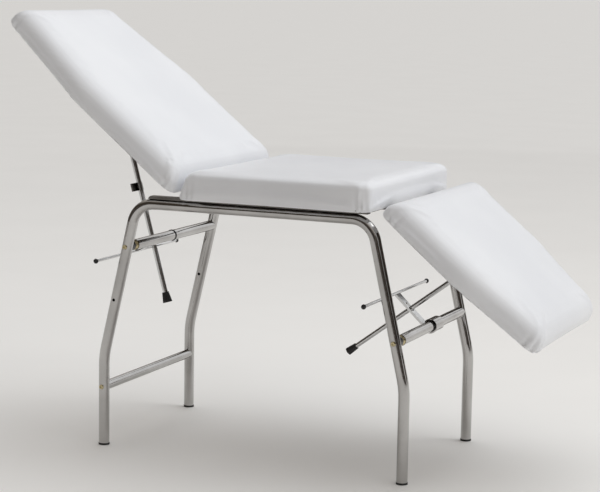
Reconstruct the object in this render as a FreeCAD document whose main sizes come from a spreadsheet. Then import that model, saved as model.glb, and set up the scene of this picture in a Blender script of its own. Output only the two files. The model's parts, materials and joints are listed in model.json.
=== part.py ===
"""Facial treatment bed: two bent tube side frames, three tilting pads and two cocking-lever struts.

Frame: +X runs from the head end to the foot end, +Z is up, Y = 0 is the middle plane.
The floor is Z = 0 and the origin lies under the middle of the bed's box.
"""
import FreeCAD, Part
import math
import os
from FreeCAD import Placement, Rotation, Vector

SIZES = {
    # side frames, measured from the middle of the frame
    "frame_mid": -27.0,
    "gauge": 486.0,
    "tube_dia": 28.0,
    "tube_wall": 1.5,
    "top_height": 649.0,
    "corner_reach": 325.0,
    "foot_reach": 421.0,
    "knee_height": 239.0,
    "top_bend": 64.0,
    "knee_bend": 220.0,
    "foot_sole": 5.0,
    "foot_plug": 22.0,
    "rail_thick": 8.0,
    "rail_width": 20.0,
    "rail_head": -287.0,
    "rail_foot": 318.0,
    # crossbars
    "head_bar_height": 533.5,
    "foot_bar_height": 351.0,
    "low_bar_height": 157.0,
    "spare_height": 392.0,
    "axle_dia": 22.0,
    "axle_wall": 2.0,
    "low_bar_dia": 25.0,
    "plug_length": 20.0,
    "plug_depth": 4.0,
    "screw_dia": 8.0,
    "screw_head": 13.0,
    "screw_head_thick": 4.0,
    "screw_length": 45.0,
    "sleeve_near_end": 205.0,
    "sleeve_gap": 2.0,
    "ring_dia": 31.0,
    "ring_thick": 3.0,
    "bush_end": 221.0,
    "bush_dia": 26.0,
    "spring_wire": 2.0,
    "spring_play": 0.5,
    "collar_dia": 38.0,
    "collar_start": 4.0,
    "collar_length": 55.0,
    "fit_gap": 0.08,
    # levers
    "lever_y": -13.0,
    "arm_width": 26.0,
    "arm_thick": 6.0,
    "arm_neck_width": 20.0,
    "arm_neck_length": 3.0,
    "head_arm_reach": 108.0,
    "foot_arm_reach": 119.0,
    "cocking_angle": 80.0,
    "release_dia": 8.0,
    "release_length": 450.0,
    "knob_dia": 13.0,
    # pads, measured from each hinge axis along the flat pad
    "axis_height": 664.5,
    "axis_drop": 6.5,
    "back_axis": -188.9,
    "leg_axis": 365.0,
    "back_tilt": 38.8,
    "leg_tilt": 40.1,
    "pad_width": 600.0,
    "pad_corner": 35.0,
    "pad_end_corner": 48.0,
    "pad_shoulder": 200.0,
    "board_thick": 12.0,
    "board_inset": 6.0,
    "seat_head": -184.5,
    "seat_foot": 340.0,
    "seat_thick": 73.0,
    "seat_lean": 36.0,
    "back_start": 24.6,
    "back_parallel": 361.0,
    "back_length": 665.0,
    "back_end_width": 450.0,
    "back_thick": 68.0,
    "back_lean": 28.0,
    "leg_start": 4.5,
    "leg_parallel": 245.0,
    "leg_length": 485.0,
    "leg_end_width": 492.0,
    "leg_thick": 66.0,
    "pad_edge": 24.0,
    # hinges
    "hinge_y": 150.0,
    "hinge_width": 60.0,
    "leaf_length": 62.0,
    "leaf_start": 12.0,
    "leaf_thick": 2.5,
    "knuckle_dia": 11.0,
    "knuckle_side": 20.0,
    "knuckle_play": 0.3,
    "hinge_pin_dia": 5.0,
    # struts
    "back_pin_reach": 405.5,
    "back_pin_drop": 19.2,
    "back_rod_dia": 14.0,
    "back_rod_length": 579.0,
    "back_rod_offset": 53.0,
    "leg_pin_reach": 206.5,
    "leg_pin_drop": 18.5,
    "leg_rod_dia": 12.0,
    "leg_rod_length": 423.0,
    "leg_rod_offset": 64.0,
    "back_slot_travel": 25.0,
    "leg_slot_travel": 14.0,
    "slot_play": 0.6,
    "slot_slack": 3.0,
    "ear_gap": 0.4,
    "eye_dia": 20.0,
    "eye_width": 15.0,
    "strut_pin_dia": 8.0,
    "strut_pin_length": 28.0,
    "bracket_thick": 3.0,
    "bracket_length": 52.0,
    "bracket_width": 44.0,
    "ear_width": 22.0,
    "cap_length": 28.0,
    "cap_end": 4.0,
    "back_cap_dia": 26.0,
    "leg_cap_dia": 20.0,
    "stop_along": 22.0,
    "stop_across": 58.0,
    "stop_thick": 4.0,
    "stop_reach": 255.0,
}

doc = FreeCAD.newDocument("TreatmentBed")
sheet = doc.addObject("Spreadsheet::Sheet", "Sizes")
for row, (alias, value) in enumerate(SIZES.items(), start=1):
    sheet.set("A%d" % row, alias)
    sheet.set("B%d" % row, str(value))
    sheet.setAlias("B%d" % row, alias)
doc.recompute()

subparts = []
ALONG_Y = Rotation(Vector(1, 0, 0), -90)
ALONG_X = Rotation(Vector(0, 1, 0), 90)


def size(alias):
    """Value of one driving dimension, in millimetres or degrees."""
    return float(sheet.get(alias))


def at(x, y, z, turn=Rotation()):
    """Placement at a point measured from the middle of the frame."""
    return Placement(Vector(x + size("frame_mid"), y, z), turn)


def tilted(x, y, z, degrees):
    """Placement at a frame point, turned about +Y."""
    return at(x, y, z, Rotation(Vector(0, 1, 0), degrees))


def local(x=0.0, y=0.0, z=0.0, turn=Rotation()):
    """Placement inside a sub-part's own axes."""
    return Placement(Vector(x, y, z), turn)


def solid(kind, name, place, **sizes):
    """Part primitive whose sizes are expressions of the sheet's cells, written as their names."""
    thing = doc.addObject("Part::" + kind, name)
    for prop, expression in sizes.items():
        thing.setExpression(prop, bind(expression))
    thing.Placement = place
    return thing


def bind(expression):
    """Turn the dimension names in an expression into references to the sheet."""
    words = str(expression).replace("(", " ( ").replace(")", " ) ").split()
    return " ".join("Sizes." + word if word in SIZES else word for word in words)


def cut(name, base, tool, place=None):
    """Base without the tool, optionally placed as a whole."""
    thing = doc.addObject("Part::Cut", name)
    thing.Base = base
    thing.Tool = tool
    if place is not None:
        thing.Placement = place
    return thing


def fuse(name, pieces, place=None):
    """One solid from overlapping pieces."""
    thing = doc.addObject("Part::MultiFuse", name)
    thing.Shapes = pieces
    if place is not None:
        thing.Placement = place
    return thing


def group(name, pieces):
    """Separate solids kept together in one node."""
    thing = doc.addObject("Part::Compound", name)
    thing.Links = pieces
    return thing


def keep(thing, label):
    """Register a finished sub-part under its own name."""
    thing.Label = label
    subparts.append(thing)
    return thing


def corner_points(previous, corner, following, radius):
    """Start, middle and end of the arc that rounds one corner of a path."""
    back = (previous - corner).normalize()
    ahead = (following - corner).normalize()
    half = back.getAngle(ahead) / 2
    reach = radius / math.tan(half)
    inward = (back + ahead).normalize()
    middle = corner + inward * (radius / math.sin(half) - radius)
    return corner + back * reach, middle, corner + ahead * reach


def rounded_path(points, radii, closed):
    """Lines and tangent arcs along a list of corners, each with its own radius."""
    count = len(points)
    pieces = []
    pen = None if closed else points[0]
    first = None
    for index in range(count):
        if not closed and index in (0, count - 1):
            continue
        start, middle, end = corner_points(points[index - 1], points[index],
                                           points[(index + 1) % count], radii[index])
        if pen is None:
            first = start
        else:
            pieces.append(Part.LineSegment(pen, start))
        pieces.append(Part.Arc(start, middle, end))
        pen = end
    pieces.append(Part.LineSegment(pen, first if closed else points[-1]))
    return pieces


def origin_plane(body, role):
    """One of a body's own origin planes."""
    return next(item for item in body.Origin.OriginFeatures if item.Role == role)


def sketch_on(body, role, name, geometry):
    """Sketch with the given curves on one of the body's origin planes."""
    sketch = body.newObject("Sketcher::SketchObject", name)
    sketch.AttachmentSupport = [(origin_plane(body, role), "")]
    sketch.MapMode = "FlatFace"
    sketch.addGeometry(geometry, False)
    return sketch


def padded_outline(name, points, radii, thickness):
    """Body made by padding a rounded outline upwards from its XY plane."""
    body = doc.addObject("PartDesign::Body", name)
    outline = rounded_path([Vector(x, y, 0) for x, y in points], radii, closed=True)
    sketch = sketch_on(body, "XY_Plane", name + "_outline", outline)
    pad = body.newObject("PartDesign::Pad", name + "_pad")
    pad.Profile = sketch
    pad.setExpression("Length", bind(thickness))
    return body


# ---------------------------------------------------------------- side frames

def leg_x(height):
    """Distance of a leg's centreline from the frame's middle, between knee and corner."""
    rise = size("top_height") - size("knee_height")
    run = size("foot_reach") - size("corner_reach")
    return size("corner_reach") + run * (size("top_height") - height) / rise


def leg_slant():
    """Lean of the upper legs from the vertical, in degrees."""
    rise = size("top_height") - size("knee_height")
    return math.degrees(math.atan2(size("foot_reach") - size("corner_reach"), rise))


def bar_places():
    """Crossbar name, X, Z and the lean of the legs that it joins."""
    return {
        "head": (-leg_x(size("head_bar_height")), size("head_bar_height"), leg_slant()),
        "foot": (leg_x(size("foot_bar_height")), size("foot_bar_height"), -leg_slant()),
        "low": (-size("foot_reach"), size("low_bar_height"), 0.0),
    }


def across_hole(name, x, z):
    """Screw hole right across both side frames."""
    return solid("Cylinder", name, at(x, -300, z, ALONG_Y), Radius="screw_dia / 2 + fit_gap", Height=600)


def side_tube(side, label):
    """Bent tube: two legs with gentle knees, joined by a straight top run."""
    body = doc.addObject("PartDesign::Body", label + "_body")
    foot, corner = size("foot_reach"), size("corner_reach")
    low, knee, top = size("foot_sole"), size("knee_height"), size("top_height")
    corners = [(-foot, low), (-foot, knee), (-corner, top), (corner, top), (foot, knee), (foot, low)]
    radii = [0, size("knee_bend"), size("top_bend"), size("top_bend"), size("knee_bend"), 0]
    path = rounded_path([Vector(x, z, 0) for x, z in corners], radii, closed=False)
    spine = sketch_on(body, "XZ_Plane", label + "_spine", path)
    ring = [Part.Circle(Vector(-foot, 0, 0), Vector(0, 0, 1), radius)
            for radius in (size("tube_dia") / 2, size("tube_dia") / 2 - size("tube_wall"))]
    section = sketch_on(body, "XY_Plane", label + "_section", ring)
    section.AttachmentOffset = Placement(Vector(0, 0, low), Rotation())
    pipe = body.newObject("PartDesign::AdditivePipe", label + "_pipe")
    pipe.Profile = section
    pipe.Spine = spine
    body.Placement = at(0, side * size("gauge") / 2, 0)
    holes = [across_hole("%s_hole_%s" % (label, name), x, z) for name, (x, z, lean) in bar_places().items()]
    holes.append(across_hole(label + "_hole_spare", -leg_x(size("spare_height")), size("spare_height")))
    return keep(cut(label + "_drilled", body, fuse(label + "_holes", holes)), label)


def top_rail(side, label):
    """Flat bar on a side tube's top run, with its head end bevelled."""
    y = side * size("gauge") / 2 - size("rail_width") / 2
    height = size("top_height") + size("tube_dia") / 2
    bar = solid("Box", label + "_bar", at(size("rail_head"), y, height),
                Length="rail_foot - rail_head", Width="rail_width", Height="rail_thick")
    bevel = Rotation(Vector(0, 1, 0), -45)
    tool = solid("Box", label + "_bevel", at(size("rail_head"), y - 1, height + 2, bevel),
                 Length=30, Width="rail_width + 2", Height=30)
    return keep(cut(label + "_bevelled", bar, tool), label)


def rubber_feet():
    """Four black plugs: a flat sole under each tube end and a shank pushed into it."""
    feet = []
    for number, (end, side) in enumerate(((-1, -1), (-1, 1), (1, -1), (1, 1)), start=1):
        spot = at(end * size("foot_reach"), side * size("gauge") / 2, 0)
        sole = solid("Cylinder", "sole_%d" % number, spot, Radius="tube_dia / 2 + 0.6", Height="foot_sole")
        shank = solid("Cylinder", "shank_%d" % number, spot,
                      Radius="tube_dia / 2 - tube_wall - 0.1", Height="foot_plug")
        feet.append(fuse("foot_%d" % number, [sole, shank]))
    return keep(group("feet", feet), "rubber_feet")


# ---------------------------------------------------------------- crossbars

def leg_copes(name, bar):
    """Two cylinders the size of the legs, which shape the ends of a crossbar."""
    x, z, lean = bar_places()[bar]
    half = 60
    tools = []
    for side in (-1, 1):
        turn = Rotation(Vector(0, 1, 0), lean)
        foot = Vector(x, side * size("gauge") / 2, z) - turn.multVec(Vector(0, 0, half))
        tools.append(solid("Cylinder", "%s_cope_%d" % (name, side + 2), at(foot.x, foot.y, foot.z, turn),
                           Radius="tube_dia / 2 + fit_gap", Height=2 * half))
    return tools


def cross_tube(name, bar, start, end, outer, inner):
    """Tube along Y between two Y positions, its ends shaped to the legs."""
    x, z, lean = bar_places()[bar]
    length = end - start
    skin = solid("Cylinder", name + "_skin", at(x, start, z, ALONG_Y), Radius=outer, Height=length)
    bore = solid("Cylinder", name + "_bore", at(x, start - 1, z, ALONG_Y), Radius=inner, Height=length + 2)
    tools = fuse(name + "_tools", [bore] + leg_copes(name, bar))
    return cut(name + "_tube", skin, tools)


def round_piece(name, bar, start, length, outer, inner):
    """Ring or bush along Y on a crossbar's axis."""
    x, z, lean = bar_places()[bar]
    skin = solid("Cylinder", name + "_skin", at(x, start, z, ALONG_Y), Radius=outer, Height=length)
    bore = solid("Cylinder", name + "_bore", at(x, start - 1, z, ALONG_Y), Radius=inner, Height=bind(length) + " + 2")
    return cut(name + "_ring", skin, bore)


def swivel_crossbar(bar):
    """Fixed axle, spacer tube, ring, bush and wound spring that carry one lever sleeve."""
    half = size("gauge") / 2
    inner = "axle_dia / 2 + fit_gap / 2"
    keep(cross_tube(bar + "_axle", bar, -half, half, "axle_dia / 2", "axle_dia / 2 - axle_wall"), bar + "_axle")
    keep(cross_tube(bar + "_spacer", bar, size("ring_thick") / 2, half, "tube_dia / 2", inner),
         bar + "_spacer_tube")
    keep(cross_tube(bar + "_bush", bar, -half, -size("bush_end"), "bush_dia / 2", inner), bar + "_saddle_bush")
    keep(round_piece(bar + "_ring", bar, -size("ring_thick") / 2, "ring_thick", "ring_dia / 2", inner),
         bar + "_joint_ring")
    return_spring(bar)


def return_spring(bar):
    """Close-wound torsion spring around the axle, as the outline of its touching turns."""
    x, z, lean = bar_places()[bar]
    wire = size("spring_wire")
    room = size("bush_end") - size("sleeve_near_end") - 2 * size("spring_play")
    turns = int(room / wire)
    inner = size("axle_dia") / 2 + size("fit_gap")
    outline = [Part.LineSegment(Vector(inner, 0, 0), Vector(inner + wire / 2, 0, 0))]
    for turn in range(turns):
        low = turn * wire
        outline.append(Part.Arc(Vector(inner + wire / 2, low, 0), Vector(inner + wire, low + wire / 2, 0),
                                Vector(inner + wire / 2, low + wire, 0)))
    top = turns * wire
    outline.append(Part.LineSegment(Vector(inner + wire / 2, top, 0), Vector(inner, top, 0)))
    outline.append(Part.LineSegment(Vector(inner, top, 0), Vector(inner, 0, 0)))
    body = doc.addObject("PartDesign::Body", bar + "_spring_body")
    sketch = sketch_on(body, "XZ_Plane", bar + "_spring_turns", outline)
    wound = body.newObject("PartDesign::Revolution", bar + "_spring_wound")
    wound.Profile = sketch
    wound.ReferenceAxis = (sketch, ["V_Axis"])
    wound.Angle = 360
    body.Placement = at(x, -size("bush_end") + size("spring_play"), z, ALONG_Y)
    keep(body, bar + "_return_spring")


def low_crossbar():
    """Fixed lower tube between the two head-end legs."""
    half = size("gauge") / 2
    keep(cross_tube("low_bar", "low", -half, half, "low_bar_dia / 2", "low_bar_dia / 2 - tube_wall"),
         "lower_crossbar")


def crossbar_fixings():
    """Threaded plugs in the crossbar ends, and the screws that hold them through the legs."""
    plugs = []
    screws = []
    reach = size("gauge") / 2 + size("tube_dia") / 2 + 0.1
    for bar, (x, z, lean) in bar_places().items():
        bore = "low_bar_dia / 2 - tube_wall" if bar == "low" else "axle_dia / 2 - axle_wall"
        for side in (-1, 1):
            name = "%s_%s" % (bar, "near" if side < 0 else "far")
            outward = Rotation(Vector(1, 0, 0), -90 * side)
            shank = solid("Cylinder", name + "_shank", at(x, side * (reach - size("screw_length")), z, outward),
                          Radius="screw_dia / 2", Height="screw_length")
            head = solid("Cone", name + "_head", at(x, side * reach, z, outward),
                         Radius1="screw_head / 2", Radius2="screw_head / 2 - 1.5", Height="screw_head_thick")
            socket = solid("Prism", name + "_socket", at(x, side * (reach + 1.5), z, outward),
                           Circumradius="screw_dia * 0.36", Height="screw_head_thick")
            screws.append(cut(name + "_screw", fuse(name + "_whole", [shank, head]), socket))
            plug_start = size("gauge") / 2 - size("tube_dia") / 2 - size("plug_depth") - size("plug_length")
            inner = at(x, side * plug_start, z, outward)
            plug = solid("Cylinder", name + "_plug", inner, Radius=bind(bore) + " - 0.05", Height="plug_length")
            thread = solid("Cylinder", name + "_thread", inner, Radius="screw_dia / 2 + fit_gap / 2",
                           Height="plug_length")
            plugs.append(cut(name + "_nut", plug, thread))
    keep(group("plugs", plugs), "crossbar_end_plugs")
    keep(group("screws", screws), "crossbar_screws")


def stop_collar():
    """Larger collar on the fixed half of the foot crossbar, beside its ring."""
    keep(round_piece("collar", "foot", size("collar_start"), "collar_length", "collar_dia / 2",
                     "tube_dia / 2 + fit_gap"), "foot_stop_collar")


# ---------------------------------------------------------------- pads

def pad_outline(start, parallel, length, end_width, direction):
    """Corners of a pad that runs parallel from its hinge end and then tapers."""
    half, end = size("pad_width") / 2, end_width / 2
    near, shoulder, far = start * direction, (start + parallel) * direction, (start + length) * direction
    return [(near, -half), (shoulder, -half), (far, -end), (far, end), (shoulder, half), (near, half)]


def inset_outline(points, inset):
    """The same corners moved inwards, for the board inside the upholstery."""
    middle = (min(x for x, y in points) + max(x for x, y in points)) / 2
    return [(x + math.copysign(inset, middle - x) if abs(x - middle) > inset else x,
             y - math.copysign(inset, y)) for x, y in points]


def upholstered(name, points, radii, thickness, place, lean_x, lean, lean_side):
    """Board and the soft pad that wraps it, cut back at the end that faces a tilting neighbour."""
    board = padded_outline(name + "_board_body", inset_outline(points, size("board_inset")), radii,
                           "board_thick")
    board.Placement = place
    keep(board, name + "_board")
    whole = padded_outline(name + "_soft", points, radii, thickness)
    doc.recompute()
    top = [index for index, edge in enumerate(whole.Shape.Edges, start=1)
           if edge.BoundBox.ZMin > size(thickness) - 0.01]
    soft = doc.addObject("Part::Fillet", name + "_rounded")
    soft.Base = whole
    soft.Edges = [(index, size("pad_edge"), size("pad_edge")) for index in top]
    hollow = padded_outline(name + "_hollow", inset_outline(points, size("board_inset")), radii,
                            "board_thick")
    away = hollow
    if lean:
        turn = Rotation(Vector(0, 1, 0), lean * lean_side)
        width = size("pad_width")
        wedge = solid("Box", name + "_wedge",
                      local(lean_x, -width, 0, turn) * local(-width if lean_side > 0 else 0, 0, -width),
                      Length="pad_width", Width="pad_width * 2", Height="pad_width * 2")
        away = fuse(name + "_away", [hollow, wedge])
    keep(cut(name + "_leaned", soft, away, place), name + "_cushion")


def pads():
    """Seat, back and leg pads in their places."""
    corner, end, shoulder = size("pad_corner"), size("pad_end_corner"), size("pad_shoulder")
    half = size("pad_width") / 2
    head, foot = size("seat_head"), size("seat_foot")
    underside = size("axis_height") + size("axis_drop")
    upholstered("seat", [(head, -half), (foot, -half), (foot, half), (head, half)], [corner] * 4,
                "seat_thick", at(0, 0, underside), head, size("seat_lean"), 1)
    radii = [corner, shoulder, end, end, shoulder, corner]
    back = pad_outline(size("back_start"), size("back_parallel"), size("back_length"),
                       size("back_end_width"), -1)
    upholstered("back", back, radii, "back_thick", back_place(0, 0, size("axis_drop")),
                -size("back_start"), size("back_lean"), -1)
    leg = pad_outline(size("leg_start"), size("leg_parallel"), size("leg_length"), size("leg_end_width"), 1)
    upholstered("leg", leg, radii, "leg_thick", leg_place(0, 0, size("axis_drop")),
                size("leg_start"), 0, 1)


def back_place(x, y, z, turn=Rotation()):
    """Placement in the tilted axes of the back pad, whose origin is its hinge axis."""
    return tilted(size("back_axis"), 0, size("axis_height"), size("back_tilt")) * local(x, y, z, turn)


def leg_place(x, y, z, turn=Rotation()):
    """Placement in the tilted axes of the leg pad, whose origin is its hinge axis."""
    return tilted(size("leg_axis"), 0, size("axis_height"), size("leg_tilt")) * local(x, y, z, turn)


# ---------------------------------------------------------------- hinges

def leaf(name, direction, outer, place):
    """Hinge leaf: a plate, and either its two outer knuckles or its middle one."""
    width, side, play = size("hinge_width"), size("knuckle_side"), size("knuckle_play")
    spans = [(-width / 2, side), (width / 2 - side, side)]
    if not outer:
        spans = [(-width / 2 + side + play, width - 2 * side - 2 * play)]
    start, length = size("leaf_start"), size("leaf_length")
    low = size("axis_drop") - size("leaf_thick")
    plate_x = start if direction > 0 else -length
    pieces = [solid("Box", name + "_plate", local(plate_x, -width / 2, low),
                    Length="leaf_length - leaf_start", Width="hinge_width", Height="leaf_thick")]
    bores = []
    for number, (y, span) in enumerate(spans, start=1):
        knuckle = "%s_knuckle_%d" % (name, number)
        pieces.append(solid("Cylinder", knuckle, local(0, y, 0, ALONG_Y), Radius="knuckle_dia / 2", Height=span))
        strap_x = 0 if direction > 0 else -start - 1
        pieces.append(solid("Box", knuckle + "_strap", local(strap_x, y, low - 1),
                            Length="leaf_start + 1", Width=span, Height="leaf_thick"))
        bores.append(solid("Cylinder", knuckle + "_bore", local(0, y - 1, 0, ALONG_Y),
                           Radius="hinge_pin_dia / 2 + fit_gap", Height=span + 2))
    bore = fuse(name + "_bores", bores) if len(bores) > 1 else bores[0]
    return cut(name + "_leaf", fuse(name + "_blank", pieces), bore, place)


def hinge_pair(pad, axis_x, direction, pad_place):
    """Two hinges between the seat board and a tilting board."""
    seat_leaves = []
    pad_leaves = []
    pins = []
    for side in (-1, 1):
        name = "%s_hinge_%s" % (pad, "near" if side < 0 else "far")
        y = side * size("hinge_y")
        seat_leaves.append(leaf(name + "_seat", -direction, True, at(axis_x, y, size("axis_height"))))
        pad_leaves.append(leaf(name + "_pad", direction, False, pad_place(0, y, 0)))
        pins.append(solid("Cylinder", name + "_pin",
                          at(axis_x, y - size("hinge_width") / 2, size("axis_height"), ALONG_Y),
                          Radius="hinge_pin_dia / 2", Height="hinge_width"))
    keep(group(pad + "_seat_leaves", seat_leaves), pad + "_hinge_seat_leaves")
    keep(group(pad + "_pad_leaves", pad_leaves), pad + "_hinge_pad_leaves")
    keep(group(pad + "_pins", pins), pad + "_hinge_pins")


# ---------------------------------------------------------------- struts and levers

def strut_angle(pin, bar, offset):
    """Turn about +Y that points a rod from its pin past a crossbar at the given distance."""
    x, z, lean = bar_places()[bar]
    run, fall = x + size("frame_mid") - pin.x, pin.z - z
    reach = math.hypot(run, fall)
    return math.degrees(math.atan2(fall, run) + math.asin(offset / reach))


def strut(pad, bar, pad_place, direction):
    """Rod pinned under a tilting board, with its bracket, pin and rubber end cap."""
    drop = size("axis_drop") - size(pad + "_pin_drop")
    reach = direction * size(pad + "_pin_reach")
    y = size("lever_y")
    place = pad_place(reach, y, drop)
    angle = strut_angle(place.Base, bar, size(pad + "_rod_offset"))
    rod_place = Placement(place.Base, Rotation(Vector(0, 1, 0), angle))
    strut_rod(pad, rod_place)
    strut_cap(pad, rod_place)
    strut_bracket(pad, pad_place(reach, y, size("axis_drop")), pad + "_pin_drop")
    half = size("strut_pin_length") / 2
    pin = solid("Cylinder", pad + "_pin", place * local(0, -half, 0, ALONG_Y),
                Radius="strut_pin_dia / 2", Height="strut_pin_length")
    keep(pin, pad + "_strut_pin")
    return angle


def strut_rod(pad, place):
    """Round rod with a bored eye at its upper end."""
    bar = solid("Cylinder", pad + "_rod_bar", local(0, 0, 0, ALONG_X),
                Radius=pad + "_rod_dia / 2", Height=pad + "_rod_length - cap_end")
    eye = solid("Cylinder", pad + "_rod_eye", local(0, -size("eye_width") / 2, 0, ALONG_Y),
                Radius="eye_dia / 2", Height="eye_width")
    trim = solid("Box", pad + "_rod_trim", local(-20, -20, -20), Length="20", Width="40", Height="40")
    half_bar = cut(pad + "_rod_half", bar, trim)
    bore = solid("Cylinder", pad + "_rod_bore", local(0, -20, 0, ALONG_Y),
                 Radius="strut_pin_dia / 2 + fit_gap", Height="40")
    keep(cut(pad + "_rod", fuse(pad + "_rod_whole", [half_bar, eye]), bore, place), pad + "_strut_rod")


def strut_cap(pad, place):
    """Tapered rubber cap pushed over the rod's lower end."""
    start = size(pad + "_rod_length") - size("cap_length")
    skin = solid("Cone", pad + "_cap_skin", local(start, 0, 0, ALONG_X),
                 Radius1=pad + "_rod_dia / 2 + 2", Radius2=pad + "_cap_dia / 2", Height="cap_length")
    bore = solid("Cylinder", pad + "_cap_bore", local(start, 0, 0, ALONG_X),
                 Radius=pad + "_rod_dia / 2 + 0.05", Height="cap_length - cap_end")
    keep(cut(pad + "_cap", skin, bore, place), pad + "_strut_cap")


def strut_bracket(pad, place, drop):
    """Folded steel bracket under a board: a plate with two ears that hold the strut's pin."""
    length, width, ear = size("bracket_length"), size("bracket_width"), size("ear_width")
    thick = size("bracket_thick")
    pieces = [solid("Box", pad + "_bracket_plate", local(-length / 2, -width / 2, -thick),
                    Length="bracket_length", Width="bracket_width", Height="bracket_thick")]
    inside = size("eye_width") / 2 + size("ear_gap")
    for side in (-1, 1):
        name = "%s_ear_%d" % (pad, side + 2)
        y = inside if side > 0 else -inside - thick
        pieces.append(solid("Box", name, local(-ear / 2, y, -size(drop)),
                            Length="ear_width", Width="bracket_thick", Height=drop + " - bracket_thick / 2"))
        pieces.append(solid("Cylinder", name + "_round", local(0, y, -size(drop), ALONG_Y),
                            Radius="ear_width / 2", Height="bracket_thick"))
    bore = solid("Cylinder", pad + "_bracket_bore", local(0, -width / 2, -size(drop), ALONG_Y),
                 Radius="strut_pin_dia / 2 + 0.05", Height="bracket_width")
    keep(cut(pad + "_bracket", fuse(pad + "_bracket_blank", pieces), bore, place), pad + "_strut_bracket")


def stop_plate(angle):
    """Cross plate on the head side of the back rod, which meets the lever when the bed is flat."""
    place = back_place(-size("back_pin_reach"), size("lever_y"), size("axis_drop") - size("back_pin_drop"))
    place.Rotation = Rotation(Vector(0, 1, 0), angle)
    corner = local(size("stop_reach") - size("stop_along") / 2, -size("stop_across") / 2,
                   -size("back_rod_dia") / 2 - size("stop_thick"))
    plate = solid("Box", "stop", place * corner,
                  Length="stop_along", Width="stop_across", Height="stop_thick")
    keep(plate, "back_strut_stop_plate")


def lever(pad, bar, rod_angle):
    """Swivel sleeve with its slotted arm, release bar and end knobs."""
    near, inner_end = -size("sleeve_near_end"), -size("sleeve_gap")
    length = inner_end - near
    keep(round_piece(pad + "_sleeve", bar, near, length, "tube_dia / 2", "axle_dia / 2 + fit_gap"),
         pad + "_lever_sleeve")
    x, z, lean = bar_places()[bar]
    turn = rod_angle + size("cocking_angle")
    place = tilted(x, size("lever_y"), z, turn)
    lever_arm(pad, bar, place)
    half = size("release_length") / 2
    reach = size(bar + "_arm_reach")
    rod = solid("Cylinder", pad + "_release", place * local(reach, -half, 0, ALONG_Y),
                Radius="release_dia / 2", Height="release_length")
    keep(rod, pad + "_release_bar")
    knobs = []
    for side in (-1, 1):
        name = "%s_knob_%s" % (pad, "near" if side < 0 else "far")
        ball = solid("Sphere", name + "_ball", local(reach, side * half, 0), Radius="knob_dia / 2")
        bore = solid("Cylinder", name + "_bore", local(reach, -half, 0, ALONG_Y),
                     Radius="release_dia / 2 + 0.05", Height="release_length")
        knobs.append(cut(name, ball, bore, place))
    keep(group(pad + "_knobs", knobs), pad + "_release_knobs")


def lever_arm(pad, bar, place):
    """Flat arm whose slot the rod passes through; the slot lets the rod shift as it swings."""
    start, reach = size("tube_dia") / 2, size(bar + "_arm_reach")
    width, thick = size("arm_width"), size("arm_thick")
    neck = solid("Box", pad + "_arm_neck", local(start, -size("arm_neck_width") / 2, -thick / 2),
                 Length="arm_neck_length + 1", Width="arm_neck_width", Height="arm_thick")
    wide_start = start + size("arm_neck_length")
    wide = solid("Box", pad + "_arm_wide", local(wide_start, -width / 2, -thick / 2),
                 Length=reach - size("release_dia") / 2 - wide_start, Width="arm_width", Height="arm_thick")
    blank = fuse(pad + "_arm_blank", [neck, wide])
    rod_crossing = size(pad + "_rod_offset") / math.sin(math.radians(size("cocking_angle")))
    first = rod_crossing - size("slot_slack")
    travel = size(pad + "_slot_travel") + size("slot_slack")
    radius = pad + "_rod_dia / 2 + slot_play"
    ends = [solid("Cylinder", "%s_slot_end_%d" % (pad, number), local(first + shift, 0, -thick),
                  Radius=radius, Height="arm_thick * 2") for number, shift in enumerate((0, travel), start=1)]
    half = size(pad + "_rod_dia") / 2 + size("slot_play")
    channel = solid("Box", pad + "_slot_channel", local(first, -half, -thick),
                    Length=travel, Width=2 * half, Height="arm_thick * 2")
    keep(cut(pad + "_arm", blank, fuse(pad + "_slot", ends + [channel]), place), pad + "_lever_arm")


# ---------------------------------------------------------------- the whole bed

side_tube(-1, "near_side_tube")
side_tube(1, "far_side_tube")
top_rail(-1, "near_top_rail")
top_rail(1, "far_top_rail")
rubber_feet()
swivel_crossbar("head")
swivel_crossbar("foot")
low_crossbar()
stop_collar()
crossbar_fixings()
pads()
hinge_pair("back", size("back_axis"), -1, back_place)
hinge_pair("leg", size("leg_axis"), 1, leg_place)
back_angle = strut("back", "head", back_place, -1)
leg_angle = strut("leg", "foot", leg_place, 1)
stop_plate(back_angle)
lever("back", "head", back_angle)
lever("leg", "foot", leg_angle)
doc.recompute()

for thing in doc.Objects:
    if "Invalid" in thing.State or "Error" in thing.State:
        raise RuntimeError("%s did not build: %s" % (thing.Name, thing.State))
for thing in subparts:
    if thing.Shape.isNull() or not thing.Shape.isValid():
        raise RuntimeError("%s has no valid shape" % thing.Label)

os.makedirs("parts", exist_ok=True)
whole = FreeCAD.BoundBox()
for thing in subparts:
    thing.Shape.exportStep("parts/%s.step" % thing.Label)
    whole.add(thing.Shape.BoundBox)
    print("%-26s %d solids %10.0f mm3" % (thing.Label, len(thing.Shape.Solids), thing.Shape.Volume))
print("box X %.2f..%.2f  Y %.2f..%.2f  Z %.2f..%.2f" % (whole.XMin, whole.XMax, whole.YMin, whole.YMax,
                                                       whole.ZMin, whole.ZMax))
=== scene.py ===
"""Looks of the facial treatment bed: upholstered pads, chrome tubes, levers and studio light."""

import json
import math

import bpy
import numpy as np
from mathutils import Matrix, Vector

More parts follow.
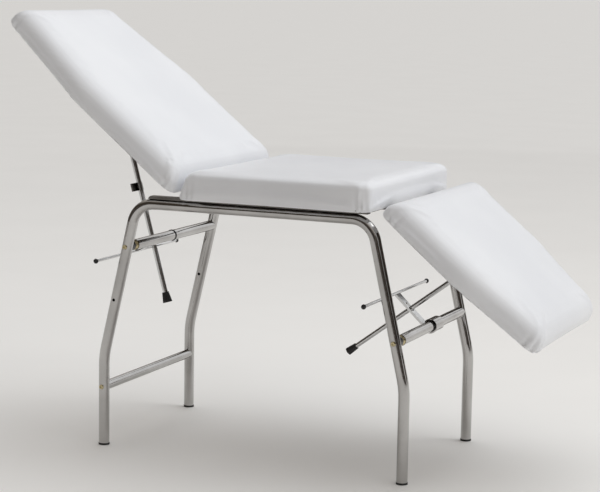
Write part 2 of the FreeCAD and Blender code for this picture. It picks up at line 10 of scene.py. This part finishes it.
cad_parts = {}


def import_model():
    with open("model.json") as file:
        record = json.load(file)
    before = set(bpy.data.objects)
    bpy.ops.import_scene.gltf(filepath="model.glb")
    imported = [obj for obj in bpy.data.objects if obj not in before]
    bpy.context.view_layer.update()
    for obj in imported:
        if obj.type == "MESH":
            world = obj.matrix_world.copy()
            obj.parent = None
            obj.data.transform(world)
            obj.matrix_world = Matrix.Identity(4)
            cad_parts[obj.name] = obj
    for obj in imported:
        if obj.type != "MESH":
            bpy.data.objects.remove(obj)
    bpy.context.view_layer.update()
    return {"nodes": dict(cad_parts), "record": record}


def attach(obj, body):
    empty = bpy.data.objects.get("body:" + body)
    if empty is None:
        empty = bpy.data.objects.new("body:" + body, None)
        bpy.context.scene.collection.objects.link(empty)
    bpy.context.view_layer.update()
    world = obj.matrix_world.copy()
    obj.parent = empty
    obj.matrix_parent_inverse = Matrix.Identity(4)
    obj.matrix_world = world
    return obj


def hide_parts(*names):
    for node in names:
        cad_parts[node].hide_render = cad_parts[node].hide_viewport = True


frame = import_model()

# Sizes in metres, in the row frame. FRAME_MID is the middle of the tube frame.
FRAME_MID = -0.0270
AXIS_HEIGHT = 0.6645
AXIS_DROP = 0.0065
SEAT_UNDERSIDE = AXIS_HEIGHT + AXIS_DROP
BACK_AXIS = FRAME_MID - 0.1889
LEG_AXIS = FRAME_MID + 0.365
BACK_TILT = 38.8
LEG_TILT = 40.1
HALF_WIDTH = 0.300
RIM_HEIGHT = -0.0006
BOARD_RECESS = 0.0025
RIM_WIDTH = 0.035
RECESS_INSET = 0.045
SIDE_START = 0.005
TUCK = 0.0022
SIDE_RINGS = 6

# How finely the pads are meshed, and how deep the ring of faces round their flat middle goes
SIDE_STEP = 0.010
ARC_STEPS = 14
CORE_DEPTH = 0.090
TOP_RINGS = 16
CORE_END = 0.02
EDGE_CROWN = 0.35
LEAN_REACH = 0.075
ROUND_RINGS = 18


# ---------------------------------------------------------------- pad forms

def rounded_outline(corners, radii):
    """Points round a convex outline, counter-clockwise, with an arc at every corner."""
    points = []
    count = len(corners)
    for index, corner in enumerate(corners):
        corner = Vector(corner)
        before = (Vector(corners[index - 1]) - corner).normalized()
        after = (Vector(corners[(index + 1) % count]) - corner).normalized()
        half = before.angle(after) / 2
        reach = radii[index] / math.tan(half)
        middle = corner + (before + after).normalized() * radii[index] / math.sin(half)
        start = corner + before * reach - middle
        sweep = math.pi - 2 * half
        for step in range(ARC_STEPS + 1):
            turn = Matrix.Rotation(sweep * step / ARC_STEPS, 2)
            points.append(middle + turn @ start)
    dense = []
    for index, point in enumerate(points):
        following = points[(index + 1) % len(points)]
        pieces = max(1, round((following - point).length / SIDE_STEP))
        for piece in range(pieces):
            share = piece / pieces
            pull = math.sin(math.pi * share) ** 2 if pieces > 4 else 0.0
            dense.append((*point.lerp(following, share), pull))
    return np.array(dense)


def side_profile(thickness, edge_round, edge_drop, crown):
    """Pairs of inset and height from the underside's rim, up the side and on to the top."""
    base = thickness - crown - edge_drop
    low = RIM_HEIGHT
    start = low + SIDE_START
    profile = [(RECESS_INSET, BOARD_RECESS), (RIM_WIDTH, low), (0.012, low), (0.0060, low),
               (0.0034, low + 0.0016), (TUCK, start)]
    for step in range(1, SIDE_RINGS + 1):
        share = step / SIDE_RINGS
        profile.append((TUCK * (1 - share) ** 2, start + (base - low - SIDE_START) * share))
    for step in range(1, ROUND_RINGS + 1):
        turn = math.pi / 2 * step / ROUND_RINGS
        profile.append((edge_round * (1 - math.cos(turn)), base + edge_drop * math.sin(turn)))
    return profile


def pad_mesh(name, corners, radii, thickness, edge_round, edge_drop, crown, pull_in,
             lean, lean_x, lean_side):
    """Closed, crowned pad whose sides pull in between its corners and whose hinge end may lean."""
    outline = rounded_outline(corners, radii)
    flat = outline[:, :2]
    low, high = flat.min(axis=0), flat.max(axis=0)
    centre, half = (low + high) / 2, (high - low) / 2
    away = flat - centre
    pulled = away * (1 - outline[:, 2:3] * pull_in / half)
    rings = []

    def add_ring(inset, height):
        rings.append(np.column_stack([centre + pulled * (1 - inset / half), np.full(len(flat), height)]))

    def add_inner(share, height):
        core = pulled * (1 - CORE_DEPTH / half)
        rings.append(np.column_stack([centre + core * share, np.full(len(flat), height)]))

    for share in (CORE_END, 0.3, 0.6, 1.0):
        add_inner(share, BOARD_RECESS)
    profile = side_profile(thickness, edge_round, edge_drop, crown)
    for inset, height in profile:
        add_ring(inset, height)
    edge_inset, edge_height = profile[-1]
    for step in range(1, 5):
        share = step / 4
        add_ring(edge_inset + (CORE_DEPTH - edge_inset) * share,
                 edge_height + crown * EDGE_CROWN * math.sin(share * math.pi / 2))
    for step in range(1, TOP_RINGS + 1):
        share = 1 - (1 - CORE_END) * step / TOP_RINGS
        add_inner(share, edge_height + crown * (EDGE_CROWN + (1 - EDGE_CROWN) * (1 - share ** 2)))
    verts = np.concatenate(rings)
    if lean:
        inward = np.abs(verts[:, 0] - lean_x)
        slope = lean_side * math.tan(math.radians(lean))
        verts[:, 0] += slope * verts[:, 2] * np.exp(-inward / LEAN_REACH)
    count = len(flat)
    faces = []
    for ring in range(len(rings) - 1):
        first = ring * count
        for index in range(count):
            following = (index + 1) % count
            faces.append((first + index, first + following,
                          first + count + following, first + count + index))
    faces.append(tuple(reversed(range(count))))
    faces.append(tuple(range((len(rings) - 1) * count, len(rings) * count)))
    mesh = bpy.data.meshes.new(name)
    mesh.from_pydata(verts.tolist(), [], faces)
    mesh.update()
    pad = bpy.data.objects.new(name, mesh)
    bpy.context.scene.collection.objects.link(pad)
    return pad


def coordinates(mesh):
    """Vertex coordinates as an array."""
    flat = np.empty(len(mesh.vertices) * 3)
    mesh.vertices.foreach_get("co", flat)
    return flat.reshape(-1, 3)


def set_coordinates(mesh, points):
    """Write vertex coordinates back into the mesh."""
    mesh.vertices.foreach_set("co", points.ravel())
    mesh.update()


def vertex_normals(mesh):
    """Vertex normals as an array."""
    flat = np.empty(len(mesh.vertices) * 3)
    mesh.vertex_normals.foreach_get("vector", flat)
    return flat.reshape(-1, 3)


# ---------------------------------------------------------------- cover simulation

VOXEL = 0.006
SWELL_FRAMES = 20
SWELL_LIMIT = 0.003
PRESSURE = 4.0
STAPLED_HEIGHT = 0.014
COVER_STIFFNESS = 30


def bake(pad, modifier_name):
    """Apply what the modifiers show as the pad's own mesh."""
    graph = bpy.context.evaluated_depsgraph_get()
    shown = bpy.data.meshes.new_from_object(pad.evaluated_get(graph))
    pad.modifiers.remove(pad.modifiers[modifier_name])
    pad.data = shown


def even_faces(pad):
    """Rebuild the pad from even faces, so that the cloth can bend the same way everywhere."""
    remesh = pad.modifiers.new("even_faces", "REMESH")
    remesh.mode = "VOXEL"
    remesh.voxel_size = VOXEL
    bake(pad, "even_faces")


def swell(pad):
    """Cloth simulation: the cover swells over the foam while its stapled rim is held."""
    mesh = pad.data
    before = coordinates(mesh)
    stapled = pad.vertex_groups.new(name="stapled")
    stapled.add(np.nonzero(before[:, 2] < STAPLED_HEIGHT)[0].tolist(), 1.0, "REPLACE")
    cloth = pad.modifiers.new("cover", "CLOTH")
    cloth.settings.quality = 4
    cloth.settings.mass = 0.4
    cloth.settings.tension_stiffness = COVER_STIFFNESS
    cloth.settings.compression_stiffness = COVER_STIFFNESS
    cloth.settings.shear_stiffness = COVER_STIFFNESS / 2
    cloth.settings.bending_stiffness = 4
    cloth.settings.vertex_group_mass = "stapled"
    cloth.settings.use_pressure = True
    cloth.settings.uniform_pressure_force = PRESSURE
    cloth.settings.effector_weights.gravity = 0
    cloth.point_cache.frame_start = 1
    cloth.point_cache.frame_end = SWELL_FRAMES
    for number in range(1, SWELL_FRAMES + 1):
        bpy.context.scene.frame_set(number)
    graph = bpy.context.evaluated_depsgraph_get()
    after = coordinates(pad.evaluated_get(graph).data)
    pad.modifiers.remove(cloth)
    bpy.context.scene.frame_set(1)
    moved = after - before
    length = np.maximum(np.linalg.norm(moved, axis=1, keepdims=True), 1e-9)
    set_coordinates(mesh, before + moved * np.minimum(1.0, SWELL_LIMIT / length))


# ---------------------------------------------------------------- pleats

PLEAT_WIDTH = 0.0046
PLEAT_SPREAD = 0.003
PLEAT_RADIUS = 0.055


def fold(distance, width):
    """Cross section of one fold: a valley with a softer ridge on one side of it."""
    valley = np.exp(-(distance / width) ** 2)
    ridge = np.exp(-((distance - 2.0 * width) / (1.3 * width)) ** 2)
    return 0.55 * ridge - valley


def corner_pleats(pad, corner, thickness, spread, reach, depth):
    """Folds that fan up from the underside, where the vinyl is gathered round one corner."""
    mesh = pad.data
    points = coordinates(mesh)
    normals = vertex_normals(mesh)
    across = points[:, 0] - corner[0]
    along = points[:, 1] - corner[1]
    angle = np.arctan2(along, across)
    radius = np.hypot(across, along)
    height = points[:, 2] / thickness
    fade = np.clip((reach - height) / reach, 0, 1) ** 0.7 * np.clip(height / 0.05, 0, 1)
    shift = np.zeros(len(points))
    for number, (degrees, slant, strength) in enumerate(spread):
        uneven = 3 * math.sin(number * 2.3)
        centre = math.radians(degrees + uneven) + math.radians(slant) * height
        apart = (angle - centre + math.pi) % (2 * math.pi) - math.pi
        shift += strength * depth * fold(apart * radius, PLEAT_WIDTH + PLEAT_SPREAD * height)
    near = np.exp(-(np.maximum(0, radius - PLEAT_RADIUS) / 0.02) ** 2)
    set_coordinates(mesh, points + normals * (shift * fade * near)[:, None])


def crease(pad, start, end, width, depth):
    """One soft crease pressed in along a line between two points of the pad."""
    mesh = pad.data
    points = coordinates(mesh)
    normals = vertex_normals(mesh)
    start, end = np.array(start), np.array(end)
    run = end - start
    share = np.clip((points - start) @ run / (run @ run), 0, 1)
    away = points - (start + share[:, None] * run)
    distance = np.linalg.norm(away, axis=1)
    taper = np.sin(math.pi * np.clip(share * 0.9 + 0.05, 0, 1)) ** 0.6
    side = np.sign(away[:, 2])
    ridge = 0.5 * np.exp(-((distance - 2 * width) / width) ** 2) * (side > 0)
    shape = ridge - np.exp(-(distance / width) ** 2)
    set_coordinates(mesh, points + normals * (depth * taper * shape)[:, None])


# ---------------------------------------------------------------- node materials

def new_material(name):
    """Empty principled material: the material, its node tree and its shader."""
    material = bpy.data.materials.new(name)
    material.use_nodes = True
    tree = material.node_tree
    shader = tree.nodes["Principled BSDF"]
    return material, tree, shader


def noise(tree, scale, detail=4.0, stretch=(1, 1, 1)):
    """Noise in object coordinates, so it is fixed to the piece."""
    place = tree.nodes.new("ShaderNodeTexCoord")
    mapping = tree.nodes.new("ShaderNodeMapping")
    mapping.inputs["Scale"].default_value = stretch
    texture = tree.nodes.new("ShaderNodeTexNoise")
    texture.inputs["Scale"].default_value = scale
    texture.inputs["Detail"].default_value = detail
    tree.links.new(place.outputs["Object"], mapping.inputs["Vector"])
    tree.links.new(mapping.outputs["Vector"], texture.inputs["Vector"])
    return texture.outputs["Fac"]


def spread_over(tree, value, low, high):
    """Map a 0.3 to 0.7 noise value on to a range of numbers."""
    node = tree.nodes.new("ShaderNodeMapRange")
    node.inputs["From Min"].default_value = 0.3
    node.inputs["From Max"].default_value = 0.7
    node.inputs["To Min"].default_value = low
    node.inputs["To Max"].default_value = high
    tree.links.new(value, node.inputs["Value"])
    return node.outputs["Result"]


def colour_between(tree, value, first, second):
    """Colour that wanders between two colours with the value."""
    node = tree.nodes.new("ShaderNodeValToRGB")
    node.color_ramp.elements[0].position = 0.35
    node.color_ramp.elements[0].color = (*first, 1)
    node.color_ramp.elements[1].position = 0.65
    node.color_ramp.elements[1].color = (*second, 1)
    tree.links.new(value, node.inputs["Fac"])
    return node.outputs["Color"]


def add_bump(tree, shader, value, strength, distance, under=None):
    """Raise the surface a little where the value is high."""
    node = tree.nodes.new("ShaderNodeBump")
    node.inputs["Strength"].default_value = strength
    node.inputs["Distance"].default_value = distance
    tree.links.new(value, node.inputs["Height"])
    if under is not None:
        tree.links.new(under, node.inputs["Normal"])
    tree.links.new(node.outputs["Normal"], shader.inputs["Normal"])
    return node.outputs["Normal"]


def metal(name, dark, bright, rough_low, rough_high, stretch=(1, 1, 1)):
    """Metal with a faint cloudiness, fine polishing marks and uneven gloss."""
    material, tree, shader = new_material(name)
    shader.inputs["Metallic"].default_value = 1.0
    tree.links.new(colour_between(tree, noise(tree, 9.0), dark, bright), shader.inputs["Base Color"])
    marks = noise(tree, 160.0, 6.0, stretch)
    tree.links.new(spread_over(tree, marks, rough_low, rough_high), shader.inputs["Roughness"])
    add_bump(tree, shader, marks, 0.06, 0.0004)
    return material


def black_material(name, colour, rough_low, rough_high, grain, strength):
    """Moulded black plastic or rubber with a fine surface grain and dusty wear."""
    material, tree, shader = new_material(name)
    worn = tuple(value * 2.2 for value in colour)
    tree.links.new(colour_between(tree, noise(tree, 35.0), colour, worn), shader.inputs["Base Color"])
    speckle = noise(tree, grain, 3.0)
    tree.links.new(spread_over(tree, speckle, rough_low, rough_high), shader.inputs["Roughness"])
    add_bump(tree, shader, speckle, strength, 0.0006)
    return material


def plywood_material():
    """Dark stained plywood with long grain."""
    material, tree, shader = new_material("plywood")
    grain = noise(tree, 40.0, 8.0, (0.25, 3.0, 3.0))
    colour = colour_between(tree, grain, (0.030, 0.022, 0.017), (0.075, 0.052, 0.036))
    tree.links.new(colour, shader.inputs["Base Color"])
    tree.links.new(spread_over(tree, grain, 0.55, 0.75), shader.inputs["Roughness"])
    add_bump(tree, shader, grain, 0.3, 0.0008)
    return material


def vinyl_material():
    """White upholstery vinyl: pebbled grain, soft stretch waves and a slight gloss."""
    material, tree, shader = new_material("white_vinyl")
    tint = colour_between(tree, noise(tree, 3.0, 3.0), (0.80, 0.81, 0.84), (0.85, 0.86, 0.885))
    tree.links.new(tint, shader.inputs["Base Color"])
    shader.inputs["Coat Weight"].default_value = 0.08
    shader.inputs["Coat Roughness"].default_value = 0.35
    shader.inputs["Sheen Weight"].default_value = 0.05
    tree.links.new(spread_over(tree, noise(tree, 28.0), 0.40, 0.52), shader.inputs["Roughness"])
    place = tree.nodes.new("ShaderNodeTexCoord")
    pebble = tree.nodes.new("ShaderNodeTexVoronoi")
    pebble.inputs["Scale"].default_value = 700.0
    tree.links.new(place.outputs["Object"], pebble.inputs["Vector"])
    waves = add_bump(tree, shader, noise(tree, 11.0, 3.0), 0.10, 0.004)
    add_bump(tree, shader, pebble.outputs["Distance"], 0.14, 0.0005, waves)
    return material


MATERIALS = {
    "chrome_tube": metal("chrome_tube", (0.42, 0.41, 0.40), (0.52, 0.51, 0.50), 0.06, 0.14),
    "chrome_bar": metal("chrome_bar", (0.56, 0.56, 0.56), (0.66, 0.66, 0.66), 0.09, 0.19),
    "dark_steel": metal("dark_steel", (0.13, 0.12, 0.11), (0.19, 0.18, 0.17), 0.20, 0.34, (0.2, 4, 4)),
    "zinc_steel": metal("zinc_steel", (0.50, 0.42, 0.24), (0.62, 0.54, 0.34), 0.22, 0.38),
    "black_rubber": black_material("black_rubber", (0.012, 0.012, 0.012), 0.62, 0.80, 420.0, 0.25),
    "black_plastic": black_material("black_plastic", (0.010, 0.010, 0.011), 0.24, 0.40, 300.0, 0.10),
    "plywood": plywood_material(),
    "white_vinyl": vinyl_material(),
}


def paint(piece, slot):
    """Give a piece one material and nothing else."""
    piece.data.materials.clear()
    piece.data.materials.append(MATERIALS[slot])


# ---------------------------------------------------------------- CAD nodes

for part in frame["record"]["subparts"]:
    paint(frame["nodes"][part["node"]], part["material_slot"])


# ---------------------------------------------------------------- pads

def pad_corners(start, parallel, length, end_width, direction):
    """Outline of a pad that runs parallel and then tapers, counter-clockwise."""
    shoulder, far, narrow = start + parallel, start + length, end_width / 2
    corners = [(start, -HALF_WIDTH), (shoulder, -HALF_WIDTH), (far, -narrow),
               (far, narrow), (shoulder, HALF_WIDTH), (start, HALF_WIDTH)]
    if direction < 0:
        corners = [(-x, y) for x, y in reversed(corners)]
    return corners


def tilted_place(axis_x, degrees):
    """From a pad's own axes to the row frame, turned about its hinge axis."""
    tilt = Matrix.Rotation(math.radians(degrees), 4, "Y")
    return Matrix.Translation((axis_x, 0, AXIS_HEIGHT)) @ tilt @ Matrix.Translation((0, 0, AXIS_DROP))


def finish_pad(pad, node, body, pleats, place):
    """Swell, pleat, smooth, place and declare one cushion."""
    even_faces(pad)
    swell(pad)
    subdivide = pad.modifiers.new("smooth", "SUBSURF")
    subdivide.levels = 1
    subdivide.render_levels = 1
    bake(pad, "smooth")
    pleats(pad)
    pad.data.transform(place)
    for face in pad.data.polygons:
        face.use_smooth = True
    paint(pad, "white_vinyl")
    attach(pad, body)
    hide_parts(node)


SEAT_HEAD = FRAME_MID - 0.192
SEAT_FOOT = FRAME_MID + 0.340
SEAT_THICK = 0.0748
BACK_START = 0.0246
BACK_LENGTH = 0.669
BACK_THICK = 0.068
LEG_START = 0.0045
LEG_LENGTH = 0.485
LEG_THICK = 0.066


def seat_pad():
    """Fixed middle pad with crisp top edges."""
    corners = [(SEAT_HEAD, -HALF_WIDTH), (SEAT_FOOT, -HALF_WIDTH),
               (SEAT_FOOT, HALF_WIDTH), (SEAT_HEAD, HALF_WIDTH)]
    pad = pad_mesh("seat_upholstery", corners, [0.035] * 4, SEAT_THICK, 0.021, 0.019, 0.003, 0.001,
                   20, SEAT_HEAD, 1)

    def pleats(pad):
        for side in (-1, 1):
            middle = side * (HALF_WIDTH - 0.035)
            spread = [(side * 84, 4, 0.8), (side * 108, -5, 1.0), (side * 136, 5, 0.9)]
            corner_pleats(pad, (SEAT_HEAD + 0.045, middle), SEAT_THICK, spread, 0.95, 0.0052)
            spread = [(side * 92, -4, 0.7), (side * 72, 4, 1.0), (side * 44, -4, 0.9)]
            corner_pleats(pad, (SEAT_FOOT - 0.035, middle), SEAT_THICK, spread, 0.95, 0.0052)

    finish_pad(pad, "seat_cushion", "frame", pleats, Matrix.Translation((0, 0, SEAT_UNDERSIDE)))


def back_pad():
    """Tilting back pad, tapered towards the head."""
    corners = pad_corners(BACK_START - 0.006, 0.361, BACK_LENGTH + 0.006, 0.460, -1)
    radii = [0.030, 0.20, 0.030, 0.030, 0.20, 0.030]
    pad = pad_mesh("back_upholstery", corners, radii, BACK_THICK, 0.046, 0.042, 0.004, 0.001,
                   18, -BACK_START, -1)

    def pleats(pad):
        for side in (-1, 1):
            near = side * (HALF_WIDTH - 0.040)
            spread = [(side * 40, 4, 0.8), (side * 66, -4, 1.0)]
            corner_pleats(pad, (-BACK_START - 0.045, near), BACK_THICK, spread, 0.8, 0.0040)
            crease(pad, (-BACK_START - 0.012, side * 0.296, 0.010),
                   (-BACK_START - 0.058, side * 0.268, 0.056), 0.0045, 0.0050)
            far = side * (0.230 - 0.040)
            spread = [(side * 100, 3, 0.7), (side * 128, -4, 1.0), (side * 152, 4, 0.8)]
            corner_pleats(pad, (-BACK_START - BACK_LENGTH + 0.040, far), BACK_THICK, spread, 0.7, 0.0036)

    finish_pad(pad, "back_cushion", "back", pleats, tilted_place(BACK_AXIS, BACK_TILT))


def leg_pad():
    """Tilting leg pad, slightly tapered towards the foot."""
    corners = pad_corners(LEG_START - 0.010, 0.252, LEG_LENGTH + 0.011, 0.500, 1)
    radii = [0.020, 0.20, 0.030, 0.030, 0.20, 0.020]
    pad = pad_mesh("leg_upholstery", corners, radii, LEG_THICK, 0.048, 0.042, 0.004, 0.001,
                   0, LEG_START, 1)

    def pleats(pad):
        for side in (-1, 1):
            near = side * (HALF_WIDTH - 0.040)
            spread = [(side * 95, 4, 0.8), (side * 122, -4, 1.0)]
            corner_pleats(pad, (LEG_START + 0.040, near), LEG_THICK, spread, 0.7, 0.0036)
            far = side * (0.250 - 0.040)
            spread = [(side * 30, 3, 0.9), (side * 56, -4, 1.0), (side * 82, 5, 0.9)]
            corner_pleats(pad, (LEG_START + LEG_LENGTH - 0.040, far), LEG_THICK, spread, 0.85, 0.0048)

    finish_pad(pad, "leg_cushion", "leg", pleats, tilted_place(LEG_AXIS, LEG_TILT))


seat_pad()
back_pad()
leg_pad()


# ---------------------------------------------------------------- studio

FLOOR_REACH = 400.0
BRIGHT_SIDE = (0.42, 0.42, 0.80)
SKY_DARK = (0.050, 0.040, 0.030, 1)
SKY_MIDDLE = (0.44, 0.41, 0.38, 1)
SKY_BRIGHT = (0.94, 0.97, 1.0, 1)
SKY_STRENGTH = 1.30


def stage_material(name, colour, rough):
    """Plain matt material with a faint mottle for the floor and the room cards."""
    material, tree, shader = new_material(name)
    darker = tuple(value * 0.985 for value in colour)
    tree.links.new(colour_between(tree, noise(tree, 2.0), darker, colour), shader.inputs["Base Color"])
    shader.inputs["Roughness"].default_value = rough
    return material


def floor():
    """Large pale floor."""
    reach = FLOOR_REACH
    mesh = bpy.data.meshes.new("floor")
    mesh.from_pydata([(-reach, -reach, 0), (reach, -reach, 0), (reach, reach, 0), (-reach, reach, 0)],
                     [], [(0, 1, 2, 3)])
    ground = bpy.data.objects.new("floor", mesh)
    bpy.context.scene.collection.objects.link(ground)
    mesh.materials.append(stage_material("floor_paint", (0.93, 0.915, 0.89), 0.75))


def dark_band():
    """Ring of dark room wall, seen only in reflections, which gives the chrome its dark middle."""
    radius, low, high, sides = 9.0, 0.2, 3.4, 48
    verts = []
    for level in (low, high):
        for side in range(sides):
            turn = 2 * math.pi * side / sides
            verts.append((radius * math.cos(turn), radius * math.sin(turn), level))
    faces = [(side, (side + 1) % sides, sides + (side + 1) % sides, sides + side)
             for side in range(sides) if side % 8 > 1]
    mesh = bpy.data.meshes.new("room_band")
    mesh.from_pydata(verts, [], faces)
    band = bpy.data.objects.new("room_band", mesh)
    bpy.context.scene.collection.objects.link(band)
    mesh.materials.append(stage_material("room_paint", (0.10, 0.085, 0.075), 0.9))
    band.visible_camera = False
    band.visible_shadow = False
    band.visible_diffuse = False


def area_light(name, place, target, width, power, colour):
    """Soft rectangular light aimed at a point."""
    light = bpy.data.lights.new(name, "AREA")
    light.shape = "RECTANGLE"
    light.size = width
    light.size_y = width * 0.7
    light.energy = power
    light.color = colour
    lamp = bpy.data.objects.new(name, light)
    bpy.context.scene.collection.objects.link(lamp)
    lamp.location = place
    lamp.rotation_euler = (Vector(target) - Vector(place)).to_track_quat("-Z", "Y").to_euler()


def world():
    """Light from all round: cool and bright from above and behind, warm and dim from the front."""
    sky = bpy.data.worlds.new("studio")
    sky.use_nodes = True
    tree = sky.node_tree
    direction = tree.nodes.new("ShaderNodeTexCoord")
    facing = tree.nodes.new("ShaderNodeVectorMath")
    facing.operation = "DOT_PRODUCT"
    facing.inputs[1].default_value = Vector(BRIGHT_SIDE).normalized()
    shade = tree.nodes.new("ShaderNodeValToRGB")
    shade.color_ramp.elements[0].color = SKY_DARK
    shade.color_ramp.elements[1].color = SKY_BRIGHT
    middle = shade.color_ramp.elements.new(0.40)
    middle.color = SKY_MIDDLE
    tree.links.new(direction.outputs["Generated"], facing.inputs[0])
    tree.links.new(facing.outputs["Value"], shade.inputs["Fac"])
    background = tree.nodes["Background"]
    background.inputs["Strength"].default_value = SKY_STRENGTH
    tree.links.new(shade.outputs["Color"], background.inputs["Color"])
    bpy.context.scene.world = sky


SENSOR_WIDTH = 36.0
FOCAL_LENGTH = 109.22
CAMERA_ROLL = 0.976


def camera():
    """Long lens at a standing person's distance, looking slightly down from the foot-end side."""
    lens = bpy.data.cameras.new("camera")
    lens.sensor_width = SENSOR_WIDTH
    lens.lens = FOCAL_LENGTH
    view = bpy.data.objects.new("camera", lens)
    bpy.context.scene.collection.objects.link(view)
    place = Vector((FRAME_MID + 1.9409, -4.3301, 1.2240))
    target = Vector((FRAME_MID + 0.0289, 0.0, 0.5324))
    roll = math.radians(CAMERA_ROLL)
    ahead = (target - place).normalized()
    level = ahead.cross(Vector((0, 0, 1))).normalized()
    upright = level.cross(ahead)
    right = level * math.cos(roll) + upright * math.sin(roll)
    up = upright * math.cos(roll) - level * math.sin(roll)
    turn = Matrix((right, up, -ahead)).transposed().to_4x4()
    view.matrix_world = Matrix.Translation(place) @ turn
    bpy.context.scene.camera = view


floor()
dark_band()
world()
area_light("key", (3.2, 1.2, 3.6), (0, 0, 0.6), 2.6, 22, (1.0, 0.98, 0.95))
area_light("top", (-0.6, 0.4, 4.2), (0, 0, 0.6), 3.2, 14, (0.93, 0.96, 1.0))
camera()
bpy.context.scene.view_settings.view_transform = "Standard"
